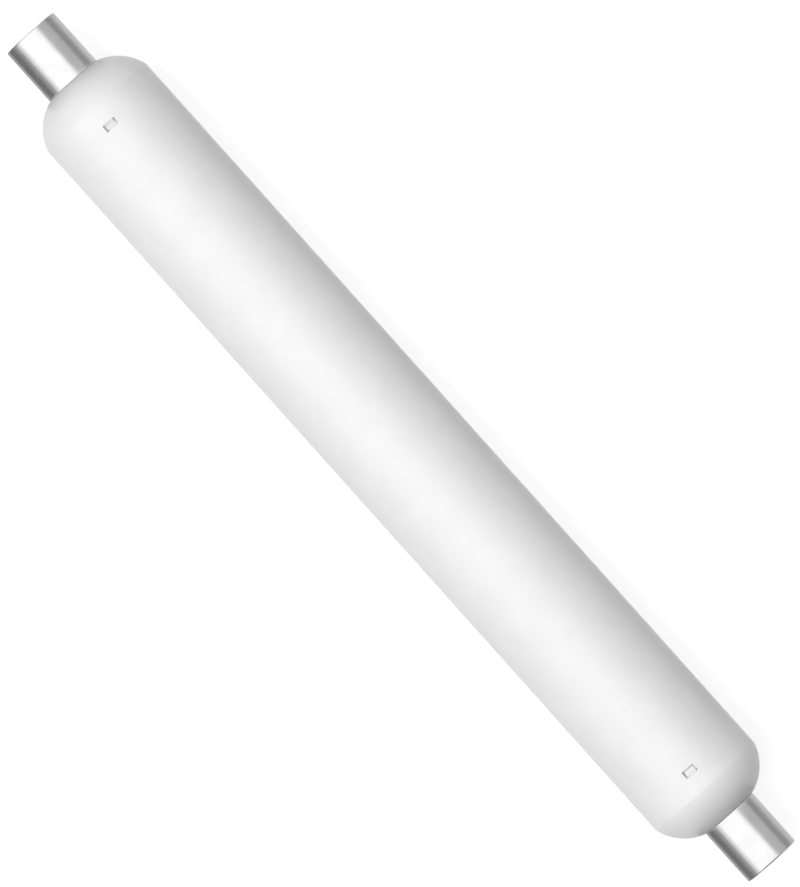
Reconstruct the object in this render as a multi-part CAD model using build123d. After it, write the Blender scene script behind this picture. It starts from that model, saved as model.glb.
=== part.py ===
from build123d import *
from math import acos, cos, degrees, radians, sin
import os

# Double-ended tubular lamp. It lies along X, its clip windows face +Z,
# and the origin is the middle of the lamp on its axis. Sizes are in millimetres and degrees.

# Overall form
lamp_length = 310.0  # over the outer faces of the two metal caps
tube_diameter = 36.8
shoulder_radius = 14.4  # main rounding of the end pieces
shoulder_blend_radius = 1.0  # small rounding where the shoulder leaves the tube
shoulder_blend_angle = 16.0  # turned by the blend before the main rounding takes over

# Metal caps, drawn from sheet
cap_diameter = 17.3
cap_length = 18.1  # from the end piece to the outer face
cap_sheet = 0.3
cap_edge_radius = 0.5  # outside bend between the side and the outer face
dish_diameter = 11.0  # mouth of the dish in the outer face
dish_floor_diameter = 8.0
dish_depth = 1.5
dish_bend_radius = 0.8
eyelet_diameter = 2.4
rim_step = 0.45  # the rim is necked in by this, and rests on the end piece at the step
rim_bend_radius = 0.3  # outside bend at the step
rim_length = 3.0  # reach of the rim into the end piece
rim_clearance = 0.05  # in the bore of the end piece

# Solder contacts
solder_diameter = 4.4
solder_height = 1.0
solder_tail = 0.8  # reach behind the sheet
solder_clearance = 0.02

# Tube and its end sockets
tube_wall = 1.6  # round a socket
socket_gap = 0.5  # behind the spigot

# Clip windows in the socket walls
window_width = 4.0  # round the tube
window_length = 2.1  # along the tube
window_land = 5.3  # wall left between the window and the end of the tube

# Moulded end pieces
spigot_wall = 1.8
spigot_clearance = 0.1
spigot_lead = 3.0  # reach of the spigot past the window
lead_chamfer = 0.5
shoulder_wall = 3.2  # behind the seat of the cap
hollow_radius = 5.0  # rounding of the hollow behind the shoulder
tongue_margin = 0.8  # of the snap tongue on each side of the window
tongue_root = 1.4  # left between its slits and the shoulder
tongue_slit = 0.8
latch_side_gap = 0.45
latch_inner_gap = 0.3  # towards the middle of the lamp
latch_outer_gap = 0.03  # play of the catch against the wall of the tube
latch_sink = 0.15  # below the face of the tube
latch_nose = 0.4  # height of the latch at the foot of its ramp
seat_margin = 0.1  # flat left round the metal cap

# Radii that follow from the sizes above
tube_radius = tube_diameter / 2
cap_radius = cap_diameter / 2
socket_radius = tube_radius - tube_wall
spigot_radius = socket_radius - spigot_clearance
spigot_bore_radius = spigot_radius - spigot_wall
rim_radius = cap_radius - rim_step
bore_radius = rim_radius + rim_clearance

# The shoulder's main arc has its centre at this level above the axis, and stops at the seat of the cap.
blend_turn = radians(shoulder_blend_angle)
blend_drop = shoulder_blend_radius * (1 - cos(blend_turn))
shoulder_level = tube_radius - blend_drop - shoulder_radius * cos(blend_turn)
seat_level = max(shoulder_level, cap_radius + seat_margin)
seat_turn = acos((seat_level - shoulder_level) / shoulder_radius)
blend_reach = shoulder_blend_radius * sin(blend_turn)
shoulder_reach = blend_reach + shoulder_radius * (sin(seat_turn) - sin(blend_turn))

# Places along the axis, from the outer face of the right cap inwards
face_x = lamp_length / 2
floor_x = face_x - dish_depth
seat_x = face_x - cap_length
rim_x = seat_x - rim_length
hollow_x = seat_x - shoulder_wall
seam_x = seat_x - shoulder_reach
window_outer_x = seam_x - window_land
window_inner_x = window_outer_x - window_length
spigot_x = window_inner_x - spigot_lead
socket_x = spigot_x - socket_gap


def turned(outline):
    """Solid made by turning a closed outline, drawn as (x, radius), about the lamp's axis."""
    return revolve(make_face(outline), Axis.X)


def rod(x_low, x_high, radius):
    """Cylinder about the lamp's axis."""
    return Pos((x_low + x_high) / 2, 0, 0) * Rot(0, 90, 0) * Cylinder(radius, x_high - x_low)


def upright_bar(x_low, x_high, width, foot):
    """Bar across the upper side of the lamp, from the level of its foot to clear of the tube."""
    height = tube_diameter - foot
    return Pos((x_low + x_high) / 2, 0, foot + height / 2) * Box(x_high - x_low, width, height)


def mirrored(piece):
    """The same piece at the other end of the lamp."""
    return mirror(piece, about=Plane.YZ)


def opal_tube():
    """Closed tube, with a socket at each end and a window through each socket wall."""
    socket = rod(socket_x, seam_x, socket_radius)
    window = upright_bar(window_inner_x, window_outer_x, window_width, spigot_bore_radius)
    opening = socket + window
    return rod(-seam_x, seam_x, tube_radius) - opening - mirrored(opening)


def latch():
    """Ramped catch that stands in the window, highest at its outer end, curved as the tube is."""
    inner_x = window_inner_x + latch_inner_gap
    outer_x = window_outer_x - latch_outer_gap
    root_radius = spigot_radius - spigot_wall / 2
    outline = Polyline(
        (inner_x, root_radius),
        (inner_x, spigot_radius + latch_nose),
        (outer_x, tube_radius - latch_sink),
        (outer_x, root_radius),
        close=True,
    )
    return turned(outline) & upright_bar(inner_x, outer_x, window_width - 2 * latch_side_gap, 0)


def tongue_slits():
    """Pair of slits that free the snap tongue from the spigot."""
    slit = upright_bar(spigot_x, seam_x - tongue_root, tongue_slit, 0)
    slit_y = window_width / 2 + tongue_margin + tongue_slit / 2
    return Pos(0, slit_y, 0) * slit + Pos(0, -slit_y, 0) * slit


def right_end():
    """Moulded end piece: round shoulder, spigot with its snap tongue, and a bore for the rim of the cap."""
    blend = JernArc((seam_x, tube_radius), (1, 0), shoulder_blend_radius, -shoulder_blend_angle)
    shoulder_sweep = degrees(seat_turn) - shoulder_blend_angle
    shoulder = JernArc(blend @ 1, blend % 1, shoulder_radius, -shoulder_sweep)
    rest = Polyline(
        shoulder @ 1,
        (seat_x, 0),
        (spigot_x, 0),
        (spigot_x, spigot_radius - lead_chamfer),
        (spigot_x + lead_chamfer, spigot_radius),
        (seam_x, spigot_radius),
        (seam_x, tube_radius),
    )
    body = turned(blend + shoulder + rest)

    # The hollow is round behind the shoulder, and opens into the bore.
    round_x = hollow_x - hollow_radius
    hollow_round = JernArc((round_x, spigot_bore_radius), (1, 0), hollow_radius, -90)
    hollow_rest = Polyline(
        hollow_round @ 1,
        (hollow_x, 0),
        (spigot_x, 0),
        (spigot_x, spigot_bore_radius),
        (round_x, spigot_bore_radius),
    )
    hollow = turned(hollow_round + hollow_rest) + rod(round_x, seat_x, bore_radius)
    return body - hollow - tongue_slits() + latch()


def right_cap():
    """Cup drawn from sheet, with a necked rim, a dished outer end and an eyelet in the dish."""
    outer_line = FilletPolyline(
        (rim_x, rim_radius),
        (seat_x, rim_radius),
        (seat_x, cap_radius),
        (face_x, cap_radius),
        (face_x, dish_diameter / 2),
        (floor_x, dish_floor_diameter / 2),
        (floor_x, eyelet_diameter / 2),
        radius=[rim_clearance, rim_bend_radius, cap_edge_radius, dish_bend_radius, dish_bend_radius],
    )
    return turned(offset(outer_line, amount=cap_sheet, side=Side.RIGHT))


def right_contact():
    """Domed solder point on the floor of the dish, with its tail through the eyelet."""
    solder_radius = solder_diameter / 2
    dome_radius = (solder_radius**2 + solder_height**2) / (2 * solder_height)
    tail_radius = eyelet_diameter / 2 - solder_clearance
    tail_x = floor_x - cap_sheet - solder_tail
    dome = RadiusArc((floor_x, solder_radius), (floor_x + solder_height, 0), dome_radius)
    rest = Polyline(
        dome @ 1,
        (tail_x, 0),
        (tail_x, tail_radius),
        (floor_x, tail_radius),
        (floor_x, solder_radius),
    )
    return turned(dome + rest)


pieces = {"opal_tube": opal_tube()}
for name, piece in (("end", right_end()), ("cap", right_cap()), ("contact", right_contact())):
    pieces["right_" + name] = piece
    pieces["left_" + name] = mirrored(piece)

os.makedirs("parts", exist_ok=True)
for name, piece in pieces.items():
    export_step(piece, f"parts/{name}.step")
    print(name, round(piece.volume, 1))
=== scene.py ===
import math

import bmesh
import bpy
from mathutils import Matrix, Vector


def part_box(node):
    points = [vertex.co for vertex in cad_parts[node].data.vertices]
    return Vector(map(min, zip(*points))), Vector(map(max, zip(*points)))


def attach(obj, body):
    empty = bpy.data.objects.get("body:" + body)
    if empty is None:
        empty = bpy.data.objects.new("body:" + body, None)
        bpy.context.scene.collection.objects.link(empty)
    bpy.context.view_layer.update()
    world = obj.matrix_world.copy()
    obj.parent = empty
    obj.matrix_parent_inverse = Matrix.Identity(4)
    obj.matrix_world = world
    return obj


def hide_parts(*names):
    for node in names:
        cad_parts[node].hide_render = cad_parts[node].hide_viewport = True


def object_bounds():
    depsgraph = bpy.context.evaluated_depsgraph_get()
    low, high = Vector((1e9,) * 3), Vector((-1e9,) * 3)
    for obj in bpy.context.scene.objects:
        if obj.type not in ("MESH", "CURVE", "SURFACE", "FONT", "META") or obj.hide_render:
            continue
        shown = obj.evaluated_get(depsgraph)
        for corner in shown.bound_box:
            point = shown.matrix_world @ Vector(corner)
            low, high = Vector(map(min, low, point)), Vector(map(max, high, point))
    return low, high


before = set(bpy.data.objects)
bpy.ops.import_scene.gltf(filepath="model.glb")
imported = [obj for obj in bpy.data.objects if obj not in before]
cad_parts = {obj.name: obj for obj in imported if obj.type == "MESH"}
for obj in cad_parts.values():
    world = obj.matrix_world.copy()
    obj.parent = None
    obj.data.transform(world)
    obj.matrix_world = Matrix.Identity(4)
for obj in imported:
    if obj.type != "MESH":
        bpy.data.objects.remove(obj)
cadLow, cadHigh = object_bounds()
mm = 0.001  # sizes below are in millimetres, the frame is in metres
print("frame loaded:", ", ".join(sorted(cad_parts)))


def reach(node):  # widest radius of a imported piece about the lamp's axis
    low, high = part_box(node)
    return max(-low.y, -low.z, high.y, high.z)


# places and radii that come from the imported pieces, at the right end
tubeRadius = reach("opal_tube")
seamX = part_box("opal_tube")[1].x
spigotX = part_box("right_end")[0].x
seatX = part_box("right_end")[1].x
capRadius = reach("right_cap")
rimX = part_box("right_cap")[0].x
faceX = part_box("right_cap")[1].x
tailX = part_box("right_contact")[0].x
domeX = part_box("right_contact")[1].x
solderRadius = reach("right_contact")

turning = dict(
    steps=256,  # facets round each turned piece
    merge=0.0001,  # what counts as one point
    near=0.001,  # what counts as in line
)


# outlines are drawn in the XZ plane, as a place along the lamp and a radius
def lineTo(bm, vert, x, radius):
    end = bm.verts.new((x, 0, radius))
    bm.edges.new((vert, end))
    return end


def arcAbout(bm, vert, x, radius, turn, steps):  # a positive turn leans outwards and then along +X
    made = bmesh.ops.spin(bm, geom=[vert], cent=(x, 0, radius), axis=(0, 1, 0), angle=turn, steps=steps)
    return [part for part in made["geom_last"] if isinstance(part, bmesh.types.BMVert)][0]


def turnRound(bm):
    outline = bm.verts[:] + bm.edges[:]
    bmesh.ops.spin(
        bm, geom=outline, cent=(0, 0, 0), axis=(1, 0, 0), angle=2 * math.pi,
        steps=turning["steps"], use_merge=True,
    )
    bmesh.ops.remove_doubles(bm, verts=bm.verts[:], dist=turning["merge"] * mm)
    bmesh.ops.recalc_face_normals(bm, faces=bm.faces[:])


def upperFaces(bm, xLow, xHigh):  # faces on the side with the windows, by their middles
    middles = [(face, face.calc_center_median()) for face in bm.faces]
    return [face for face, middle in middles if xLow < middle.x < xHigh and middle.z > 0]


def cutAlong(bm, xLow, xHigh, y):  # a straight cut along the lamp through its upper faces
    faces = upperFaces(bm, xLow, xHigh)
    edges = {edge for face in faces for edge in face.edges}
    verts = {vert for face in faces for vert in face.verts}
    bmesh.ops.bisect_plane(
        bm, geom=faces + list(edges) + list(verts), dist=turning["merge"] * mm,
        plane_co=(0, y, 0), plane_no=(0, 1, 0),
    )


def openEdges(bm):
    return [edge for edge in bm.edges if edge.is_boundary]


def middleOf(edge):
    return (edge.verts[0].co + edge.verts[1].co) / 2


def soften(bm, edges, width):  # small moulded edge
    bmesh.ops.bevel(
        bm, geom=edges, offset=width * mm, offset_type="OFFSET", segments=2, profile=0.5,
        affect="EDGES", material=-1, clamp_overlap=True,
    )


def finishPiece(name, bm, material, sharpAngle=15):
    mesh = bpy.data.meshes.new(name)
    bm.to_mesh(mesh)
    bm.free()
    mesh.polygons.foreach_set("use_smooth", [True] * len(mesh.polygons))
    mesh.set_sharp_from_angle(angle=math.radians(sharpAngle))
    mesh.materials.append(material)
    piece = bpy.data.objects.new(name + "_look", mesh)
    bpy.context.scene.collection.objects.link(piece)
    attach(piece, "root")
    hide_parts(name)
    print("made", piece.name, "with", len(mesh.polygons), "faces")


def bothEnds(name, build, material):  # the left end is the right one mirrored
    finishPiece("right_" + name, build(), material)
    bm = build()
    bmesh.ops.scale(bm, vec=(-1, 1, 1), verts=bm.verts[:])
    bmesh.ops.reverse_faces(bm, faces=bm.faces[:])
    finishPiece("left_" + name, bm, material)


def linear(hexCode):  # sRGB hex to the linear colour that a shader takes
    parts = [int(hexCode[i:i + 2], 16) / 255 for i in (1, 3, 5)]
    return [p / 12.92 if p <= 0.04045 else ((p + 0.055) / 1.055) ** 2.4 for p in parts] + [1]


def addNode(tree, kind, values=None, links=None, **settings):
    node = tree.nodes.new(kind)
    for name, setting in settings.items():
        setattr(node, name, setting)
    for socket, value in (values or {}).items():
        node.inputs[socket].default_value = value
    for socket, source in (links or {}).items():
        tree.links.new(source, node.inputs[socket])
    return node


def newMaterial(name):
    material = bpy.data.materials.new(name)
    material.use_nodes = True
    material.node_tree.nodes.clear()
    return material, material.node_tree


noiseSpan = (0.3, 0.7)  # noise seldom goes past these


# a finish with fine marks that change its gloss and relief, and clouds that change its tone
def surfaceMaterial(name, look):
    material, tree = newMaterial(name)
    place = addNode(tree, "ShaderNodeTexCoord").outputs["Object"]
    across = 1 / (look["markWidth"] * mm)
    stretch = (1 / (look["markLength"] * mm), across, across)
    stretched = addNode(tree, "ShaderNodeMapping", {"Scale": stretch}, {"Vector": place})
    marks = addNode(
        tree, "ShaderNodeTexNoise",
        {"Scale": 1, "Detail": look["markDetail"], "Roughness": look["markBreak"]},
        {"Vector": stretched.outputs["Vector"]},
    )
    clouds = addNode(
        tree, "ShaderNodeTexNoise", {"Scale": 1 / (look["cloud"] * mm), "Detail": look["cloudDetail"]},
        {"Vector": place},
    )
    tone = addNode(tree, "ShaderNodeValToRGB", links={"Fac": clouds.outputs["Fac"]})
    for stop, position, colour in zip(tone.color_ramp.elements, noiseSpan, look["tones"]):
        stop.position = position
        stop.color = linear(colour)
    dullness = addNode(
        tree, "ShaderNodeMapRange",
        {
            "From Min": noiseSpan[0], "From Max": noiseSpan[1],
            "To Min": look["roughness"][0], "To Max": look["roughness"][1],
        },
        {"Value": marks.outputs["Fac"]},
    )
    relief = addNode(
        tree, "ShaderNodeBump", {"Strength": 1, "Distance": look["markDepth"] * mm},
        {"Height": marks.outputs["Fac"]},
    )
    shader = addNode(
        tree, "ShaderNodeBsdfPrincipled", look["body"],
        {
            "Base Color": tone.outputs["Color"], "Roughness": dullness.outputs["Result"],
            "Normal": relief.outputs["Normal"],
        },
    )
    addNode(tree, "ShaderNodeOutputMaterial", links={"Surface": shader.outputs["BSDF"]})
    return material


# opal polycarbonate lets a little of the light sink in, 0.4 mm deep
opalBody = {
    "IOR": 1.585, "Subsurface Weight": 0.15, "Subsurface Radius": (1, 1, 1), "Subsurface Scale": 0.4 * mm,
}
metalBody = {"Metallic": 1}

# extruded opal polycarbonate: even satin white, with hair-fine die lines along the tube
# and a faint cloudiness of the pigment
extrudedOpal = dict(
    tones=("#F2F2F2", "#F5F5F5"), roughness=(0.36, 0.44), body=opalBody,
    markWidth=0.5, markLength=60.0, markDepth=0.002,  # real lines are finer, drawn so that they show
    markDetail=3, markBreak=0.6, cloud=9.0, cloudDetail=2,
)
tubeOpal = surfaceMaterial("extruded_opal_polycarbonate", extrudedOpal)

# moulded opal polycarbonate: the same white from a spark-eroded tool, so a fine even grain and no lines
mouldedOpal = dict(
    tones=("#F2F2F2", "#F5F5F5"), roughness=(0.36, 0.44), body=opalBody,
    markWidth=0.35, markLength=0.35, markDepth=0.002,  # real grain is finer, drawn so that it shows
    markDetail=3, markBreak=0.6, cloud=9.0, cloudDetail=2,
)
endOpal = surfaceMaterial("moulded_opal_polycarbonate", mouldedOpal)

# bright nickel plate on drawn sheet: neutral mirror softened by fine marks along the draw
nickelPlate = dict(
    tones=("#D8D8D8", "#E0E0E0"), roughness=(0.24, 0.32), body=metalBody,
    markWidth=0.3, markLength=9.0, markDepth=0.001,  # real marks are finer, drawn so that they show
    markDetail=4, markBreak=0.65, cloud=4.0, cloudDetail=3,
)
nickel = surfaceMaterial("drawn_nickel_plate", nickelPlate)

# tin solder, left as it set: dull grey metal with a frosted, slightly lumpy skin,
# brighter where it is smoother
tinSolder = dict(
    tones=("#A4A5A6", "#C4C5C6"), roughness=(0.52, 0.34), body=metalBody,
    markWidth=0.7, markLength=0.7, markDepth=0.05,
    markDetail=4, markBreak=0.5, cloud=0.7, cloudDetail=4,
)
solder = surfaceMaterial("set_tin_solder", tinSolder)
print("materials made")

tube = dict(
    wall=1.6,  # round a socket
    socketGap=0.5,  # behind the spigot
    windowAround=4.0, windowAlong=2.1,
    windowLand=5.3,  # wall left between a window and the end of the tube
    windowEdge=0.16,
    cuts=60,  # rings along half of the tube
)
windowOuterX = seamX - tube["windowLand"] * mm
windowInnerX = windowOuterX - tube["windowAlong"] * mm
socketRadius = tubeRadius - tube["wall"] * mm


def opalTube():
    bm = bmesh.new()
    middle = bm.verts.new((0, 0, tubeRadius))
    socketX = spigotX - tube["socketGap"] * mm
    vert = lineTo(bm, middle, windowInnerX, tubeRadius)
    longEdge = vert.link_edges[0]
    for x in (windowOuterX, seamX):
        vert = lineTo(bm, vert, x, tubeRadius)
    for x in (seamX, windowOuterX, windowInnerX, socketX):
        vert = lineTo(bm, vert, x, socketRadius)
    lineTo(bm, vert, socketX, 0)
    bmesh.ops.subdivide_edges(bm, edges=[longEdge], cuts=tube["cuts"])
    bmesh.ops.mirror(bm, geom=bm.verts[:] + bm.edges[:], merge_dist=turning["merge"] * mm, axis="X")
    turnRound(bm)
    half = tube["windowAround"] * mm / 2
    for xLow, xHigh in ((windowInnerX, windowOuterX), (-windowOuterX, -windowInnerX)):
        for y in (-half, half):
            cutAlong(bm, xLow, xHigh, y)
        opening = [f for f in upperFaces(bm, xLow, xHigh) if abs(f.calc_center_median().y) < half]
        bmesh.ops.delete(bm, geom=opening, context="FACES")
        rims = openEdges(bm)
        outerRim = [edge for edge in rims if middleOf(edge).yz.length > (tubeRadius + socketRadius) / 2]
        bmesh.ops.bridge_loops(bm, edges=rims)
        soften(bm, outerRim, tube["windowEdge"])
    bmesh.ops.recalc_face_normals(bm, faces=bm.faces[:])
    return bm


finishPiece("opal_tube", opalTube(), tubeOpal)

endPiece = dict(
    blendRadius=1.0, blendTurn=16.0,  # small rounding where the shoulder leaves the tube
    shoulderRadius=14.4, shoulderWall=3.2, hollowRadius=5.0,
    seatMargin=0.1,  # flat left round the metal cap
    spigotClearance=0.1, spigotWall=1.8, leadChamfer=0.5,
    tongueMargin=0.8, tongueSlit=0.8, tongueRoot=1.4,
    latchSideGap=0.45, latchInnerGap=0.3, latchOuterGap=0.03, latchSink=0.15, latchNose=0.4, latchEdge=0.12,
    blendSteps=6, shoulderSteps=28, hollowSteps=16,
)

cap = dict(
    sheet=0.3, edgeRadius=0.5,
    dishDiameter=11.0, dishFloorDiameter=8.0, dishDepth=1.5, dishBendRadius=0.8,
    eyeletDiameter=2.4,
    rimStep=0.45, rimBendRadius=0.3, rimClearance=0.05,  # necked rim in the bore of the end piece
    bendSteps=8,
)
floorX = faceX - cap["dishDepth"] * mm
rimRadius = capRadius - cap["rimStep"] * mm


def snapSlits(bm, slitX, slitLow, slitHigh):  # a pair of slits that free the snap tongue from the spigot
    started = spigotX - mm  # clear of the spigot's end
    for y in (slitLow, slitHigh, -slitLow, -slitHigh):
        cutAlong(bm, started, slitX, y)
    strips = [
        face for face in upperFaces(bm, started, slitX)
        if slitLow < abs(face.calc_center_median().y) < slitHigh
    ]
    bmesh.ops.delete(bm, geom=strips, context="FACES")
    near = turning["near"] * mm
    for side in (1, -1):
        rims = [edge for edge in openEdges(bm) if middleOf(edge).y * side > 0]
        endEdges = [edge for edge in rims if abs(middleOf(edge).x - slitX) < near]
        for y in (slitLow * side, slitHigh * side):
            wallEdges = [edge for edge in rims if abs(middleOf(edge).y - y) < near]
            wallVerts = {vert for edge in wallEdges for vert in edge.verts}
            corners = [vert for vert in wallVerts if abs(vert.co.x - slitX) < near]
            corner = bm.edges.new(corners)
            bmesh.ops.contextual_create(bm, geom=wallEdges + [corner])
            endEdges.append(corner)
        bmesh.ops.contextual_create(bm, geom=endEdges)


def snapLatch(bm, spigotRadius, xLow, xHigh):  # ramped catch that stands in the tube's window
    half = (tube["windowAround"] / 2 - endPiece["latchSideGap"]) * mm
    for y in (-half, half):
        cutAlong(bm, xLow, xHigh, y)
    foot = []
    for face in upperFaces(bm, xLow, xHigh):
        middle = face.calc_center_median()
        if abs(middle.y) < half and middle.yz.length > spigotRadius - endPiece["spigotWall"] * mm / 2:
            foot.append(face)
    raised = bmesh.ops.extrude_face_region(bm, geom=foot)["geom"]
    bmesh.ops.delete(bm, geom=foot, context="FACES")
    low = spigotRadius + endPiece["latchNose"] * mm
    high = tubeRadius - endPiece["latchSink"] * mm
    for vert in [part for part in raised if isinstance(part, bmesh.types.BMVert)]:
        level = low + (high - low) * (vert.co.x - xLow) / (xHigh - xLow)
        vert.co.z = math.sqrt(level ** 2 - vert.co.y ** 2)
    bm.normal_update()
    top = [part for part in raised if isinstance(part, bmesh.types.BMFace)]
    edges = {edge for face in top for edge in face.edges}
    soften(bm, [edge for edge in edges if not set(edge.link_faces) <= set(top)], endPiece["latchEdge"])


def rightEnd():
    bm = bmesh.new()
    blendRadius = endPiece["blendRadius"] * mm
    blendTurn = math.radians(endPiece["blendTurn"])
    shoulderRadius = endPiece["shoulderRadius"] * mm
    chamfer = endPiece["leadChamfer"] * mm
    spigotRadius = socketRadius - endPiece["spigotClearance"] * mm
    boreRadius = spigotRadius - endPiece["spigotWall"] * mm
    capBore = rimRadius + cap["rimClearance"] * mm
    hollowX = seatX - endPiece["shoulderWall"] * mm
    hollowRadius = endPiece["hollowRadius"] * mm
    seatRadius = capRadius + endPiece["seatMargin"] * mm
    slitX = seamX - endPiece["tongueRoot"] * mm
    slitLow = (tube["windowAround"] / 2 + endPiece["tongueMargin"]) * mm
    latchLow = windowInnerX + endPiece["latchInnerGap"] * mm
    latchHigh = windowOuterX - endPiece["latchOuterGap"] * mm

    # round shoulder, as two arcs that run into each other
    start = bm.verts.new((seamX, 0, tubeRadius))
    vert = arcAbout(bm, start, seamX, tubeRadius - blendRadius, blendTurn, endPiece["blendSteps"])
    centreX = vert.co.x - shoulderRadius * math.sin(blendTurn)
    centreRadius = vert.co.z - shoulderRadius * math.cos(blendTurn)
    seatTurn = math.acos((seatRadius - centreRadius) / shoulderRadius)
    vert = arcAbout(bm, vert, centreX, centreRadius, seatTurn - blendTurn, endPiece["shoulderSteps"])

    # seat and bore of the metal cap, then back through the hollow to the spigot
    for x, radius in ((seatX, capBore), (hollowX, capBore), (hollowX, boreRadius - hollowRadius)):
        vert = lineTo(bm, vert, x, radius)
    centre = (hollowX - hollowRadius, boreRadius - hollowRadius)
    vert = arcAbout(bm, vert, *centre, -math.pi / 2, endPiece["hollowSteps"])
    for x, radius in (
        (slitX, boreRadius), (spigotX, boreRadius), (spigotX, spigotRadius - chamfer),
        (spigotX + chamfer, spigotRadius), (latchLow, spigotRadius), (latchHigh, spigotRadius),
        (slitX, spigotRadius), (seamX, spigotRadius),
    ):
        vert = lineTo(bm, vert, x, radius)
    bm.edges.new((vert, start))
    turnRound(bm)
    snapLatch(bm, spigotRadius, latchLow, latchHigh)
    snapSlits(bm, slitX, slitLow, slitLow + endPiece["tongueSlit"] * mm)
    bmesh.ops.recalc_face_normals(bm, faces=bm.faces[:])
    return bm


bothEnds("end", rightEnd, endOpal)


def rightCap():  # drawn cup, its outline rounded at the corners and thickened inwards
    bm = bmesh.new()
    dishRadius = cap["dishDiameter"] * mm / 2
    dishFloorRadius = cap["dishFloorDiameter"] * mm / 2
    quarter = math.pi / 2
    dishTurn = math.atan2(cap["dishDepth"] * mm, dishRadius - dishFloorRadius)
    vert = bm.verts.new((rimX, 0, rimRadius))
    corners = []
    for x, radius, bend, turn in (
        (seatX, rimRadius, "rimClearance", quarter), (seatX, capRadius, "rimBendRadius", quarter),
        (faceX, capRadius, "edgeRadius", quarter), (faceX, dishRadius, "dishBendRadius", dishTurn),
        (floorX, dishFloorRadius, "dishBendRadius", dishTurn),
    ):
        vert = lineTo(bm, vert, x, radius)
        corners.append((vert, cap[bend] * mm * math.tan(turn / 2)))
    lineTo(bm, vert, floorX, cap["eyeletDiameter"] * mm / 2)
    for corner, offset in corners:
        bmesh.ops.bevel(
            bm, geom=[corner], offset=offset, offset_type="OFFSET", segments=cap["bendSteps"], profile=0.5,
            affect="VERTICES", material=-1,
        )
    turnRound(bm)
    bmesh.ops.solidify(bm, geom=bm.faces[:], thickness=cap["sheet"] * mm)
    return bm


bothEnds("cap", rightCap, nickel)

contact = dict(tailClearance=0.02, domeSteps=16)


def rightContact():  # solder point on the floor of the dish, its tail through the eyelet
    bm = bmesh.new()
    height = domeX - floorX
    domeRadius = (solderRadius ** 2 + height ** 2) / (2 * height)
    tailRadius = (cap["eyeletDiameter"] / 2 - contact["tailClearance"]) * mm
    start = bm.verts.new((floorX, 0, solderRadius))
    domeTurn = math.asin(solderRadius / domeRadius)
    arcAbout(bm, start, domeX - domeRadius, 0, domeTurn, contact["domeSteps"])
    vert = bm.verts.new((tailX, 0, 0))
    for x in (tailX, floorX):
        vert = lineTo(bm, vert, x, tailRadius)
    bm.edges.new((vert, start))
    turnRound(bm)
    return bm


bothEnds("contact", rightContact, solder)

# the lamp lies on matt white paper, which the camera and the metal see as white
floor = dict(size=12.0, tone="#C8C8C8", glow=0.72)  # glow shows to camera, glossy and transmission rays only


def seenRays(tree):  # 1 for the rays that show the white ground, 0 for the rays that light the object
    path = addNode(tree, "ShaderNodeLightPath")
    glossy = addNode(
        tree, "ShaderNodeMath", links={0: path.outputs["Is Camera Ray"], 1: path.outputs["Is Glossy Ray"]},
        operation="ADD",
    )
    every = addNode(
        tree, "ShaderNodeMath", links={0: glossy.outputs[0], 1: path.outputs["Is Transmission Ray"]},
        operation="ADD", use_clamp=True,
    )
    return every.outputs[0]


def makeFloor():
    bm = bmesh.new()
    bmesh.ops.create_grid(bm, x_segments=1, y_segments=1, size=floor["size"] / 2)
    bmesh.ops.translate(bm, vec=(0, 0, -tubeRadius), verts=bm.verts[:])
    mesh = bpy.data.meshes.new("floor")
    bm.to_mesh(mesh)
    bm.free()
    material, tree = newMaterial("white_paper")
    paper = addNode(tree, "ShaderNodeBsdfDiffuse", {"Color": linear(floor["tone"])})
    share = addNode(tree, "ShaderNodeMath", {1: floor["glow"]}, {0: seenRays(tree)}, operation="MULTIPLY")
    glow = addNode(tree, "ShaderNodeEmission", links={"Strength": share.outputs[0]})
    both = addNode(tree, "ShaderNodeAddShader", links={0: paper.outputs[0], 1: glow.outputs[0]})
    addNode(tree, "ShaderNodeOutputMaterial", links={"Surface": both.outputs[0]})
    mesh.materials.append(material)
    piece = bpy.data.objects.new("floor", mesh)
    bpy.context.scene.collection.objects.link(piece)


def makeWorld():
    world = bpy.data.worlds.new("white_studio")
    world.use_nodes = True
    tree = world.node_tree
    tree.nodes.clear()
    white = addNode(tree, "ShaderNodeBackground", {"Color": (1, 1, 1, 1)}, {"Strength": seenRays(tree)})
    addNode(tree, "ShaderNodeOutputWorld", links={"Surface": white.outputs[0]})
    bpy.context.scene.world = world


makeFloor()
makeWorld()

# soft lamps: place, aim and size in metres; glow is the brightness of the lamp's face
lamps = {
    "overheadSoftbox": dict(place=(-0.2, -2.25, 2.7), aim=(-0.2, -2.25, 0), size=(3.0, 7.5), glow=1.31),
    "keyLamp": dict(place=(-0.8, -1.03, 2.82), aim=(-0.8, 0, 0), size=(2.4, 1.2), glow=5.06),
    "sideLamp": dict(place=(-0.8, 2.6, 1.5), aim=(-0.8, 0, 0), size=(2.4, 1.2), glow=1.39),
}


def makeLamps():
    for name, lamp in lamps.items():
        light = bpy.data.lights.new(name, "AREA")
        light.shape = "RECTANGLE"
        light.size, light.size_y = lamp["size"]
        light.energy = lamp["glow"] * math.pi * light.size * light.size_y
        holder = bpy.data.objects.new(name, light)
        holder.location = lamp["place"]
        beam = Vector(lamp["aim"]) - Vector(lamp["place"])
        holder.rotation_euler = beam.to_track_quat("-Z", "Y").to_euler()
        holder.visible_camera = False
        holder.visible_glossy = False  # the painted-reflection cards are what the metal and the gloss see
        bpy.context.scene.collection.objects.link(holder)


makeLamps()
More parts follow.
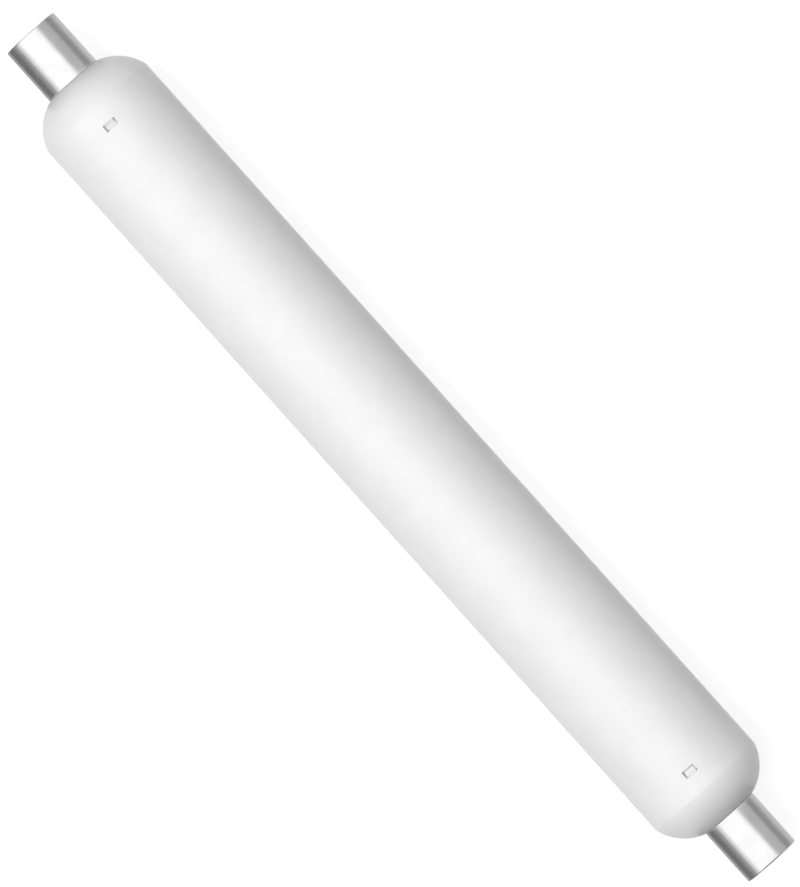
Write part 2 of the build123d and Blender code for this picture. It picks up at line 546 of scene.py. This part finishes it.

# glowing cards round the lamp, which only the metal and the gloss see and which light nothing, so they are
# painted reflections:
# the ceiling card is a painted highlight in place of the lamps, and the dimmer cards beside and past the
# caps are painted dark reflections, partly the floor's shade there. Flat rectangles between two opposite
# corners, in metres, at the right end of the lamp, and mirrored to its left end unless rightOnly
groundZ = -tubeRadius + 0.1 * mm  # cards that lie or stand on the floor start just above it
capLow, capHigh = seatX - 0.3 * mm, 0.17  # along a metal cap
frontY, backY = -0.0105, 0.0105  # close beside the caps
cards = {
    "ceilingCard": dict(low=(0, -1.333, 0.6), high=(0.6, 0.333, 0.6), glow=1.41),
    "underCardFront": dict(low=(capLow, frontY, groundZ), high=(capHigh, frontY, -0.0015), glow=0.45),
    "lowCardFront": dict(low=(capLow, frontY, -0.0015), high=(capHigh, frontY, 0.001), glow=0.54),
    "darkCardFront": dict(low=(capLow, frontY, 0.001), high=(capHigh, frontY, 0.0058), glow=0.2),
    "dimCardFront": dict(low=(capLow, frontY, 0.0058), high=(capHigh, frontY, 0.0086), glow=0.35),
    "greyCardFront": dict(low=(capLow, frontY, 0.0086), high=(capHigh, frontY, 0.0113), glow=0.9),
    "underCardBack": dict(low=(capLow, backY, groundZ), high=(capHigh, backY, 0.0024), glow=0.677),
    "lowCardBack": dict(low=(capLow, backY, 0.0024), high=(capHigh, backY, 0.004), glow=0.475),
    "darkCardBack": dict(low=(capLow, backY, 0.004), high=(capHigh, backY, 0.0076), glow=0.34),
    "dimCardBack": dict(low=(capLow, backY, 0.0076), high=(capHigh, backY, 0.0198), glow=0.575),
    "endCard": dict(low=(0.16, -0.01, groundZ), high=(0.25, 0.01, groundZ), glow=0.3),
    "wallCard": dict(low=(0.2, -0.05, groundZ), high=(0.2, 0.03, 0.1), glow=0.3, rightOnly=True),
    "floorCardBack": dict(low=(0, 0.03, groundZ), high=(0.12, 0.13, groundZ), glow=1.0),
}


def makePaintedReflectionCards():
    for name, card in cards.items():
        low, high = Vector(card["low"]), Vector(card["high"])
        steps = [(high[i] - low[i]) * Vector(axis) for i, axis in enumerate(Matrix.Identity(3))]
        first, second = [step for step in steps if step.length]
        bm = bmesh.new()
        bm.faces.new([bm.verts.new(place) for place in (low, low + first, high, low + second)])
        if not card.get("rightOnly"):
            bmesh.ops.mirror(bm, geom=bm.verts[:] + bm.edges[:] + bm.faces[:], axis="X")
        mesh = bpy.data.meshes.new(name)
        bm.to_mesh(mesh)
        bm.free()
        material, tree = newMaterial(name)
        # each card glows evenly at its own strength: a painted reflection that lights nothing
        glow = addNode(tree, "ShaderNodeEmission", {"Strength": card["glow"]})
        addNode(tree, "ShaderNodeOutputMaterial", links={"Surface": glow.outputs[0]})
        mesh.materials.append(material)
        piece = bpy.data.objects.new(name, mesh)
        piece.visible_camera = piece.visible_diffuse = piece.visible_shadow = False
        piece.visible_transmission = piece.visible_volume_scatter = False
        bpy.context.scene.collection.objects.link(piece)


makePaintedReflectionCards()
print("floor, world, lamps and cards made")

# the photograph is side-on and without perspective, so a far camera with a long lens
shot = dict(
    photoWidth=800, photoHeight=887,
    lampPixels=1112.4,  # length of the lamp in the photograph
    lampAt=(401.1, 447.2),  # its middle there
    turn=48.144,  # its slope there
    lean=1.0,  # the lamp is rolled by this much, as its windows show
    distance=5.0,
)


def makeCamera():
    pixel = (cadHigh.x - cadLow.x) / shot["lampPixels"]
    data = bpy.data.cameras.new("camera")
    tall = shot["photoHeight"] * pixel  # the longer side of the photograph fits the sensor
    data.lens = data.sensor_width * shot["distance"] / tall
    camera = bpy.data.objects.new("camera", data)
    aside = (shot["photoWidth"] / 2 - shot["lampAt"][0]) * pixel
    above = (shot["lampAt"][1] - shot["photoHeight"] / 2) * pixel
    lean = Matrix.Rotation(-math.radians(shot["lean"]), 4, "X")
    turn = Matrix.Rotation(math.radians(shot["turn"]), 4, "Z")
    camera.matrix_world = lean @ turn @ Matrix.Translation((aside, above, shot["distance"]))
    bpy.context.scene.collection.objects.link(camera)
    bpy.context.scene.camera = camera


makeCamera()
bpy.context.scene.view_settings.view_transform = "Standard"
